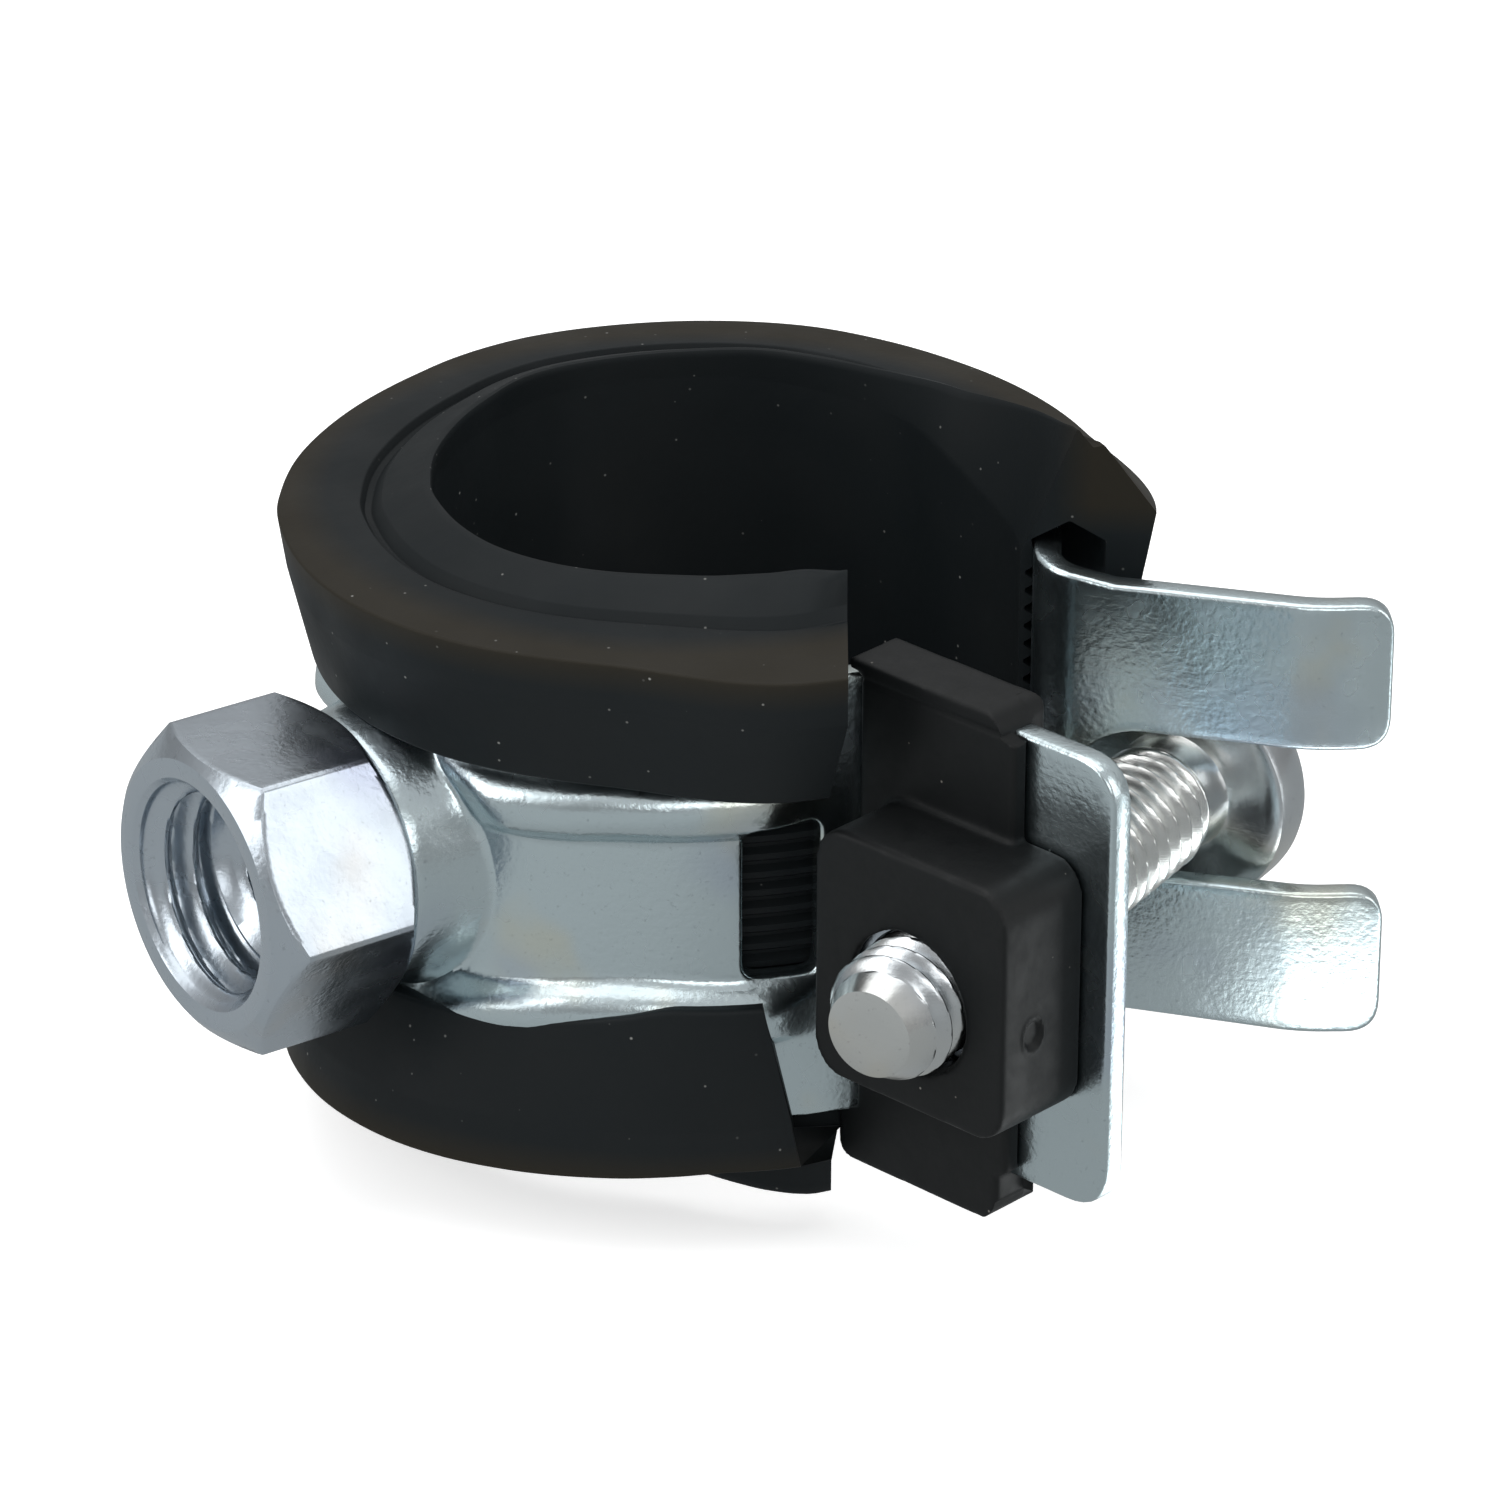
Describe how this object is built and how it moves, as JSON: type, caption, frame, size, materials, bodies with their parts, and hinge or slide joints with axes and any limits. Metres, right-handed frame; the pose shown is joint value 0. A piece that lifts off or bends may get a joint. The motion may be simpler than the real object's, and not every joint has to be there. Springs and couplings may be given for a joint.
{
  "type": "rubber lined pipe clamp",
  "caption": "Rubber lined steel pipe clamp with a hexagon rod nut on its back and a closing screw through two outward ears.",
  "frame": {"origin": "on the pipe's axis at the middle of the strip's width", "axes": "+Z along the pipe's axis, +X towards the fork ear, the closing ears and their screw lie towards +X and -Y"},
  "size_m": [0.0554, 0.045, 0.032],
  "materials": {
    "zinc_strip": "satin",
    "zinc_nut": "satin",
    "zinc_screw": "gloss",
    "liner_rubber": "matte",
    "black_plastic": "matte"
  },
  "bodies": {
    "clamp": {"band": "zinc_strip", "rubber_liner": "liner_rubber", "connection_nut": "zinc_nut", "square_nut": "zinc_nut", "nut_holder": "black_plastic"},
    "screw": {"closing_screw": "zinc_screw"}
  },
  "joints": [
    {"name": "screw_travel", "type": "slide", "parent": "clamp", "child": "screw", "axis": [0.5194, 0.8544, 0.0164], "range_m": [0, 0.006]}
  ]
}
